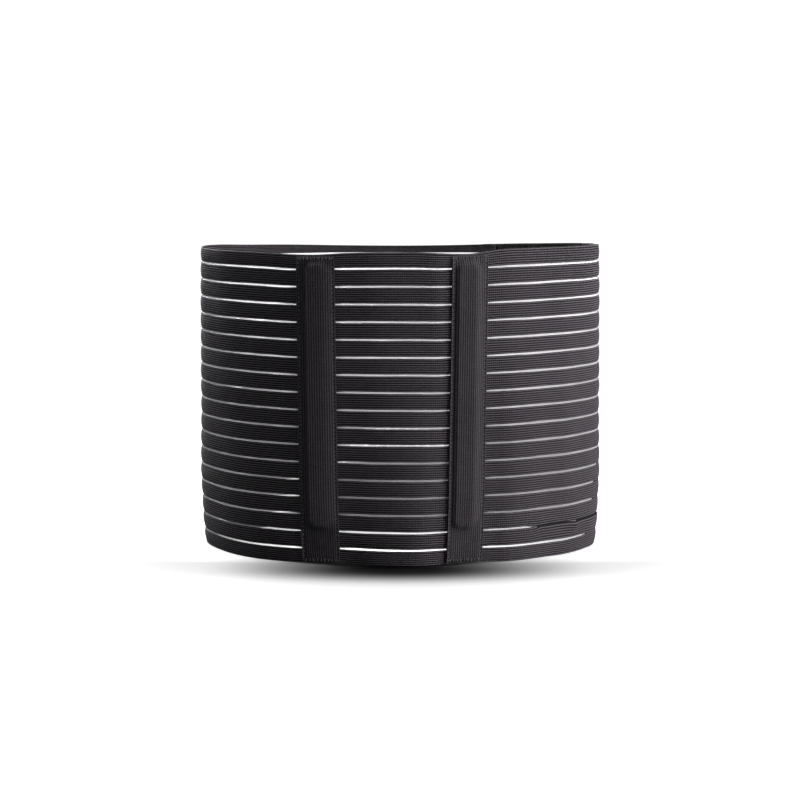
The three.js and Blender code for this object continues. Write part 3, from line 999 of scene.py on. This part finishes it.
def cloth_sheet(along, z, outer, inner, flat, ribs=None, both_sides=False):
    """A sheet from its place on the wall, the distance of its faces from it and its flat place.

    `ribs` counts the ribs up to each point, and the inner face has them too with `both_sides`.
    """
    push = np.zeros((*along.shape, 3)) if ribs is None else out_direction(along)
    return {
        "outer": on_wall(along, z, outer), "inner": on_wall(along, z, inner),
        "push_outer": push, "push_inner": -push if both_sides else np.zeros_like(push),
        "rib_place": np.broadcast_to(0.0 if ribs is None else ribs, along.shape),
        "uv": np.stack(np.broadcast_arrays(*flat), -1),
    }


def band_sheet(band):
    share = np.linspace(0, 1, RIBS_PER_BAND * ROWS_PER_RIB + 1)[None, :]
    low, high = (edge[:, None] for edge in band_edges(band, web_along))
    fold, pucker = fold_and_pucker(web_along[:, None]) if band + 1 == FOLDED_SLIT else (0, 0)
    z = low + (high - low) * (share + (np.minimum(share / FOLD_EDGE, 1) - share) * fold)
    along = np.repeat(web_along[:, None], share.shape[1], 1)
    swell = BAND_SWELL * (1 - (2 * share - 1) ** 2) + web_offset(along, z)
    z = z + FOLD_RISE * fold * ease(share, FOLD_RISES)
    z = z + PUCKER_LIFT * pucker * ease(share, PUCKER_RISES)
    start, reach = PUCKER_SPAN
    swell = swell - FOLD_DEPTH * fold * ease(share, FOLD_SINKS)
    swell = swell + PUCKER_HEIGHT * pucker * np.sin(math.pi * np.clip((share - start) / reach, 0, 1))
    ribs = RIBS_PER_BAND * share
    return cloth_sheet(
        along, z, swell, -WALL_THICKNESS + np.minimum(INNER_SWELL * swell, swell),
        (along + 0.5, (RIBS_PER_STEP * band + ribs) * RIB_PITCH), ribs, both_sides=True,
    )


# %% Three pieces of six bands
WEB_RIB_DEPTH = 0.5 * MM
BANDS_PER_PIECE = 6
for part, label in enumerate(("low", "middle", "high")):
    bands = range(part * BANDS_PER_PIECE, (part + 1) * BANDS_PER_PIECE)
    base = sheets_mesh("webbing_" + label, [band_sheet(band) for band in bands])
    piece = run_tree("webbing_" + label, base, rib_tree, {
        "Rib Depth": WEB_RIB_DEPTH, "Material": webbing_material,
    })
    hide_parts("elastic_wall")
    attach(piece, "root")

# %% [markdown]
# ## The ladder threads
# In the slits the crosswise threads lie bare, four to every three millimetres. Each is a short rod
# with five sides, because there are thousands of them. The tree walks along the middle of each slit
# and sets a rod as tall as the slit is there. The stitching needs the same walk along its seams, so
# the walk is a helper of its own.

# %% The tree that sets ladder threads
THREAD_SPACING = 0.72 * MM
THREAD_OVERLAP = 0.4 * MM
THREAD_SLANT = 0.06 * MM
THREAD_SEED = 5


def set_along(tree, group_in, spacing, thing, direction, radius, length):
    """Walk loose lines in even steps and set a thing at each, turned and scaled."""
    curve = node_of(tree, "GeometryNodeMeshToCurve")
    even = node_of(tree, "GeometryNodeResampleCurve", mode="LENGTH")
    turned = node_of(tree, "FunctionNodeAlignRotationToVector", axis="Z")
    size = node_of(tree, "ShaderNodeCombineXYZ")
    placed = node_of(tree, "GeometryNodeInstanceOnPoints")
    join(
        tree, (group_in.outputs["Geometry"], curve.inputs[0]),
        (curve.outputs[0], even.inputs["Curve"]), (group_in.outputs[spacing], even.inputs["Length"]),
        (direction, turned.inputs["Vector"]),
        (radius, size.inputs["X"]), (radius, size.inputs["Y"]), (length, size.inputs["Z"]),
        (even.outputs[0], placed.inputs["Points"]), (thing, placed.inputs["Instance"]),
        (turned.outputs[0], placed.inputs["Rotation"]), (size.outputs[0], placed.inputs["Scale"]),
    )
    finish_tree(tree, placed.outputs[0], group_in.outputs["Material"])


def build_ladder_tree():
    tree, group_in = new_tree("ladder_threads", [
        ("Thread Spacing", "NodeSocketFloat", THREAD_SPACING),
        ("Thread Radius", "NodeSocketFloat", 0.25 * MM),
        ("Overlap", "NodeSocketFloat", THREAD_OVERLAP),
        ("Slant", "NodeSocketFloat", THREAD_SLANT),
        ("Seed", "NodeSocketInt", THREAD_SEED),
        ("Material", "NodeSocketMaterial", None),
    ])
    rod_size = {"Vertices": 5, "Depth": 1.0, "Radius": 1.0}
    rod = node_of(tree, "GeometryNodeMeshCylinder", rod_size, fill_type="NGON")
    span = {"Min": (-1, -1, 0), "Max": (1, 1, 0)}
    lean = node_of(tree, "FunctionNodeRandomValue", span, data_type="FLOAT_VECTOR")
    tree.links.new(group_in.outputs["Seed"], lean.inputs["Seed"])
    tilt = vector_node(tree, "SCALE", lean.outputs["Value"], scale=group_in.outputs["Slant"])
    rise = vector_node(tree, "ADD", named(tree, "rise", "FLOAT_VECTOR"), tilt)
    tall = math_node(tree, "ADD", vector_node(tree, "LENGTH", rise), group_in.outputs["Overlap"])
    set_along(
        tree, group_in, "Thread Spacing", rod.outputs["Mesh"], rise,
        group_in.outputs["Thread Radius"], tall,
    )
    return tree


ladder_tree = build_ladder_tree()


# %% Slit lines, and the threads on them
def lines_mesh(name, lines, attributes):
    """Polylines as loose edges, each with vectors that its tree reads."""
    points = np.concatenate(lines)
    edges, first = [], 0
    for line in lines:
        edges += [(first + i, first + i + 1) for i in range(len(line) - 1)]
        first += len(line)
    mesh = bpy.data.meshes.new(name)
    mesh.from_pydata(points.tolist(), edges, [])
    for label, values in attributes.items():
        attribute = mesh.attributes.new(label, "FLOAT_VECTOR", "POINT")
        attribute.data.foreach_set("vector", np.concatenate(values).astype(np.float32).ravel())
    return mesh


# First and last slit of each group, and the radius of its threads. At the foot the cloth is
# stretched thinnest, and the white floor shows between them.
THREAD_GROUPS = {
    "foot": (1, 2, 0.15 * MM), "low": (3, 6, 0.29 * MM), "middle": (7, 12, 0.29 * MM),
    "high": (13, SLIT_COUNT, 0.25 * MM),
}
THREAD_SAMPLES = 420
THREAD_END_INSET = 1 * MM
OPEN_ENOUGH = 0.5  # a slit that is shut further than this has no threads

thread_along = np.linspace(LEFT_END + THREAD_END_INSET, RIGHT_END - THREAD_END_INSET, THREAD_SAMPLES)
threads = []
for part, (label, (first, last, radius)) in enumerate(THREAD_GROUPS.items()):
    lines, rises = [], []
    for slit in range(first, last + 1):
        low, high = slit_edges(slit, thread_along)
        foot = on_wall(thread_along, low, -WALL_THICKNESS / 2)
        head = on_wall(thread_along, high, -WALL_THICKNESS / 2)
        is_open = shut_share(slit, thread_along) < OPEN_ENOUGH
        for run in np.split(np.arange(THREAD_SAMPLES), np.where(np.diff(is_open))[0] + 1):
            if is_open[run[0]] and len(run) > 1:
                lines.append((foot[run] + head[run]) / 2)
                rises.append(head[run] - foot[run])
    base = lines_mesh("slit_lines_" + label, lines, {"rise": rises})
    piece = run_tree("ladder_threads_" + label, base, ladder_tree, {
        "Thread Spacing": THREAD_SPACING, "Thread Radius": radius, "Overlap": THREAD_OVERLAP,
        "Slant": THREAD_SLANT, "Seed": THREAD_SEED + part, "Material": thread_material,
    })
    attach(piece, "root")
    threads.append(piece)

# %% [markdown]
# The threads glow with the light from inside the loop. A strong key light from the front would
# drown that, so one of the two key lights is kept off them, and off the floor.

# %% Key light that is kept off the threads
keep_off("flagged_threads", [floor, *threads], ["key_on_cloth"])

# %% [markdown]
# ## The stay casings
# A casing is a flat ribbed tape sewn to the webbing along both edges. It rises over the stay and
# falls again to the stitching, which pulls a groove into it. The two ridges are not alike, because
# each stay leans its own way, and the left edge of each tape stands off the webbing a little.

# %% Shape of a casing
# Each ridge: width of its left and its right slope, its extra height on the left and on the right,
# and how far its crown sits to the side of the tape's middle
RIDGES = {
    "left": (2.4 * MM, 8.5 * MM, 2.0 * MM, 0.1 * MM, 0.0),
    "right": (4.0 * MM, 9.0 * MM, 0.5 * MM, 1.7 * MM, -2.8 * MM),
}
RIDGE_INSET = 1.5 * MM
POCKET_CORNER = 4 * MM
END_SLOPE = 3 * MM
# How far the left edge of each tape stands off the webbing, and how far in that reaches
EDGE_ROLLS = {"left": 0.6 * MM, "right": 1.15 * MM}
EDGE_ROLL_REACH = 1.7 * MM
TAPE_SLACK, SLACK_FADE = 0.25 * MM, 3 * MM
SLACK_UP, SLACK_ACROSS = 2.2, 0.8  # its waves follow each other up the tape, a little aslant
TAPE_RIB_DEPTH = 0.36 * MM
EDGE_ROUNDING, EDGE_SHARE = 0.6 * MM, 0.35
STITCH_INSET = 1.85 * MM
SEAM_ROW_INSET = 2.6 * MM
GROOVE_DEPTH, GROOVE_WIDTH = 0.65 * MM, 0.8 * MM
END_GROOVE = 0.8  # depth of the groove at the ends, as a share of that along the sides


def casing_ends(side):
    return TAPE_END_INSET, float(rim_height(casing_middle(side, HEIGHT))) - TAPE_END_INSET


def stay_distance(at, z):
    """Distance outside the pocket of the stay, and how far that is past an end, from 0 to 1."""
    top = HEIGHT - STAY_TOP_INSET - RIDGE_INSET
    foot = HEIGHT - STAY_TOP_INSET - STAY_LENGTH + RIDGE_INSET
    past_side = np.abs(at) - (STAY_WIDTH / 2 - RIDGE_INSET - POCKET_CORNER)
    past_end = np.abs(z - (top + foot) / 2) - ((top - foot) / 2 - POCKET_CORNER)
    past_side, past_end = np.maximum(past_side, 0), np.maximum(past_end, 0)
    end_share = past_end / (past_side + past_end + 1e-9)
    return np.hypot(past_side, past_end) - POCKET_CORNER, end_share


def casing_lift(at, z, side):
    """Height of the tape's inner face over the wall."""
    left_slope, right_slope, left_extra, right_extra, shift = RIDGES[side]
    distance, end_share = stay_distance(at - shift, z)
    slope = np.where(at < shift, left_slope, right_slope) * (1 - end_share) + END_SLOPE * end_share
    share = np.clip(at / STAY_WIDTH + 0.5, 0, 1)
    crown = STAY_THICKNESS + FIT_GAP + left_extra * (1 - share) + right_extra * share
    lift = crown * smooth(1 - distance / slope)
    slack = TAPE_SLACK * wander(z * SLACK_UP + at * SLACK_ACROSS, side + "_slack")
    free = smooth((TAPE_WIDTH / 2 - STITCH_INSET - np.abs(at)) / SLACK_FADE)
    roll = EDGE_ROLLS[side] * bell((at + TAPE_WIDTH / 2) / EDGE_ROLL_REACH)
    return FIT_GAP + lift + roll + np.maximum(slack, 0) * free


def rounded(inset, reach, edge_share=0.0):
    """Share of the full thickness at a distance from an edge that is rounded over `reach`."""
    near = np.clip(inset / reach, 0, 1)
    return edge_share + (1 - edge_share) * np.sqrt(1 - (1 - near) ** 2)


def tape_top(at, z, side, ends):
    """Height of the tape's outer face: thickness, rounded edges and the stitch groove."""
    foot, top = ends
    to_side, to_end = TAPE_WIDTH / 2 - np.abs(at), np.minimum(z - foot, top - z)
    body = TAPE_THICKNESS * rounded(np.minimum(to_side, to_end), EDGE_ROUNDING, EDGE_SHARE)
    groove = np.maximum(
        bell((to_side - STITCH_INSET) / GROOVE_WIDTH),
        END_GROOVE * bell((to_end - SEAM_ROW_INSET) / GROOVE_WIDTH),
    )
    return casing_lift(at, z, side) + body - GROOVE_DEPTH * groove


# %% Tapes
TAPE_ROWS = 116
POINTS_PER_TAPE_RIB = 4


def flat_grid(width, columns, up):
    """Places across a strip, from its middle, and up it, as two grids."""
    return np.broadcast_arrays(np.linspace(-width / 2, width / 2, columns)[:, None], up[None, :])


casings = {}
for side in CASINGS:
    foot, top = casing_ends(side)
    rows_up = np.linspace(foot, top, TAPE_ROWS)
    at, z = flat_grid(TAPE_WIDTH, TAPE_RIBS * POINTS_PER_TAPE_RIB + 1, rows_up)
    base = sheets_mesh("stay_casing_" + side, [cloth_sheet(
        casing_middle(side, z) + at, z, tape_top(at, z, side, (foot, top)), casing_lift(at, z, side),
        (at + TAPE_WIDTH / 2, z), at / TAPE_RIB_PITCH + TAPE_RIBS / 2,
    )])
    piece = run_tree("stay_tape_" + side, base, rib_tree, {
        "Rib Depth": TAPE_RIB_DEPTH, "Material": tape_material,
    })
    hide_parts("stay_casing_" + side)
    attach(piece, "root")
    casings[side] = piece

# %% [markdown]
# ## The closure
# On the far side the two ends of the webbing meet under a brushed panel. Its edges are folded and
# sewn down, the lap of the hooked end shows as a step, and a ribbed tape binds each upright edge.

# %% Closure panel
PANEL_COLUMNS, PANEL_ROWS = 70, 116
PANEL_ROUNDING, PANEL_EDGE_SHARE = 1.2 * MM, 0.4
HEM_WIDTH = 9 * MM
HEM_GROOVE_DEPTH, HEM_GROOVE_WIDTH = 0.5 * MM, 1.1 * MM
PILE_PUFF, PUFF_UP = 0.4 * MM, 2.0
FILL_SLOPE = 2 * MM
LAP_PLACE = 0.12 * CLOSURE_WIDTH
LAP_HEIGHT, LAP_SLOPE = 1.1 * MM, 1.5 * MM


def closure_lap(at):
    """Step where the hooked end of the belt lies on the brushed one."""
    return LAP_HEIGHT * smooth((at - LAP_PLACE) / LAP_SLOPE)


panel_share = np.linspace(0, 1, PANEL_ROWS)
at, share = flat_grid(CLOSURE_WIDTH, PANEL_COLUMNS, panel_share)
along = CLOSURE_CENTRE + at
z = share * rim_height(along)
to_edge = np.minimum(CLOSURE_WIDTH / 2 - np.abs(at), np.minimum(share, 1 - share) * HEIGHT)
body = CLOSURE_THICKNESS * rounded(to_edge, PANEL_ROUNDING, PANEL_EDGE_SHARE)
hem_groove = HEM_GROOVE_DEPTH * bell((to_edge - HEM_WIDTH) / HEM_GROOVE_WIDTH)
puff = PILE_PUFF * wander(z * PUFF_UP + at, "pile") * np.clip(to_edge / PANEL_ROUNDING, 0, 1)
# Between the two ends of the webbing the panel is thicker, so that its inside lies level with theirs
between_ends = smooth((CLOSURE_WIDTH / 2 - CLOSURE_OVERLAP - np.abs(at)) / FILL_SLOPE)
base = sheets_mesh("closure_panel", [cloth_sheet(
    along, z, FIT_GAP + body - hem_groove + closure_lap(at) + puff,
    FIT_GAP - (WALL_THICKNESS + FIT_GAP) * between_ends, (at + 0.5, z),
)])
closure = run_tree("closure_pile_panel", base, rib_tree, {"Material": pile_material})
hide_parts("closure_panel")
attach(closure, "root")

# %% Binding of the closure
BINDING_RIBS = 5
BINDING_WIDTH = BINDING_RIBS * TAPE_RIB_PITCH
BINDING_SINK = 0.3 * MM
BINDING_CROWN, BINDING_ROUNDING = 0.95 * MM, 0.9 * MM
BINDING_BACK = 0.4 * MM

bindings = []
for turn_side in (-1, 1):
    at, share = flat_grid(BINDING_WIDTH, BINDING_RIBS * POINTS_PER_TAPE_RIB + 1, panel_share)
    on_panel = turn_side * (CLOSURE_WIDTH - BINDING_WIDTH) / 2 + at
    along = CLOSURE_CENTRE + on_panel
    z = share * rim_height(along)
    seat = FIT_GAP + CLOSURE_THICKNESS + closure_lap(on_panel) - BINDING_SINK
    crown = BINDING_CROWN * rounded(BINDING_WIDTH / 2 - np.abs(at), BINDING_ROUNDING)
    bindings.append(cloth_sheet(
        along, z, seat + crown, seat - BINDING_BACK, (at + BINDING_WIDTH / 2, z),
        at / TAPE_RIB_PITCH + BINDING_RIBS / 2,
    ))
binding = run_tree("closure_binding", sheets_mesh("closure_binding", bindings), rib_tree, {
    "Rib Depth": TAPE_RIB_DEPTH, "Material": tape_material,
})
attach(binding, "root")

# %% [markdown]
# ## The stitching
# Every seam is a lock stitch: short beads of yarn in a row, each a little sunk into the cloth. One
# tree walks the seam lines and lays a bead at each step, turned along the seam. The ends of the
# tapes are overcast, with stitches side by side that stand across the edge.

# %% The tree that lays stitches
def build_stitch_tree():
    tree, group_in = new_tree("seam_stitches", [
        ("Stitch Spacing", "NodeSocketFloat", 3.1 * MM),
        ("Stitch Length", "NodeSocketFloat", 2.3 * MM),
        ("Yarn Radius", "NodeSocketFloat", 0.28 * MM),
        ("Material", "NodeSocketMaterial", None),
    ])
    bead = node_of(tree, "GeometryNodeMeshUVSphere", {"Segments": 6, "Rings": 4, "Radius": 1.0})
    soft_bead = node_of(tree, "GeometryNodeSetShadeSmooth")
    tree.links.new(bead.outputs["Mesh"], soft_bead.inputs["Geometry"])
    tangent = node_of(tree, "GeometryNodeInputTangent").outputs[0]
    half_stitch = math_node(tree, "MULTIPLY", group_in.outputs["Stitch Length"], 0.5)
    set_along(
        tree, group_in, "Stitch Spacing", soft_bead.outputs[0], tangent,
        group_in.outputs["Yarn Radius"], half_stitch,
    )
    return tree


stitch_tree = build_stitch_tree()

# %% Seams of the casings
SEAM_SAMPLES = 120
SEAM_END_INSET = 1.5 * MM
YARN_PROUD = 0.05 * MM
OVERCAST_SPACING = 2.8 * MM
OVERCAST_INSET = 1.9 * MM
OVERCAST_REACH = 0.9 * MM


def tape_line(side, at, z):
    ends = casing_ends(side)
    at, z = np.broadcast_arrays(np.asarray(at, float), np.asarray(z, float))
    return on_wall(casing_middle(side, z) + at, z, tape_top(at, z, side, ends) + YARN_PROUD)


seam_lines = []
seam = TAPE_WIDTH / 2 - STITCH_INSET
for side in CASINGS:
    foot, top = casing_ends(side)
    upright = np.linspace(foot + SEAM_END_INSET, top - SEAM_END_INSET, SEAM_SAMPLES)
    seam_lines += [tape_line(side, edge, upright) for edge in (-seam, seam)]
    for place in np.arange(-seam + OVERCAST_SPACING / 2, seam, OVERCAST_SPACING):
        for middle in (foot + OVERCAST_INSET, top - OVERCAST_INSET):
            tick = middle + OVERCAST_REACH * np.array([-0.5, 0.5])
            seam_lines.append(tape_line(side, place, tick))
casing_seams = run_tree("casing_stitches", lines_mesh("casing_seams", seam_lines, {}), stitch_tree, {
    "Stitch Spacing": 3.1 * MM, "Stitch Length": 2.3 * MM, "Yarn Radius": 0.32 * MM,
    "Material": yarn_material,
})
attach(casing_seams, "root")

# %% Seams of the closure
PANEL_YARN_PROUD = 0.15 * MM
BINDING_SEAM_GAP = 0.8 * MM
LAP_ROWS = (4 * MM, 8 * MM)
UPRIGHT_SAMPLES, LEVEL_SAMPLES = 90, 60


def closure_line(at, share):
    along = CLOSURE_CENTRE + at
    out = FIT_GAP + CLOSURE_THICKNESS + closure_lap(at) + PANEL_YARN_PROUD
    return on_wall(along, share * rim_height(along), out)


edge_seam = CLOSURE_WIDTH / 2 - BINDING_WIDTH - BINDING_SEAM_GAP
row_inset = HEM_WIDTH / HEIGHT
upright = np.linspace(row_inset, 1 - row_inset, UPRIGHT_SAMPLES)
level = np.linspace(-edge_seam, edge_seam, LEVEL_SAMPLES)
places = (-edge_seam, edge_seam, *(LAP_PLACE + row for row in LAP_ROWS))
closure_lines = [closure_line(np.full(UPRIGHT_SAMPLES, place), upright) for place in places]
closure_lines += [closure_line(level, row) for row in (row_inset, 1 - row_inset)]
closure_seams = run_tree(
    "closure_stitches", lines_mesh("closure_seams", closure_lines, {}), stitch_tree, {
        "Stitch Spacing": 3.0 * MM, "Stitch Length": 2.3 * MM, "Yarn Radius": 0.28 * MM,
        "Material": yarn_material,
    },
)
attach(closure_seams, "root")

for side, piece in casings.items():
    foot, top = casing_ends(side)

# %% [markdown]
# ## The stays
# The stays lie hidden in their pockets. Their solids have the right shape already, so they only get
# a moulded plastic finish.

# %% Stay finish
for side in CASINGS:
    node = bpy.data.objects["stay_" + side]
    node.data.materials.clear()
    node.data.materials.append(plastic_material)
    print(node.name, "keeps its solid")
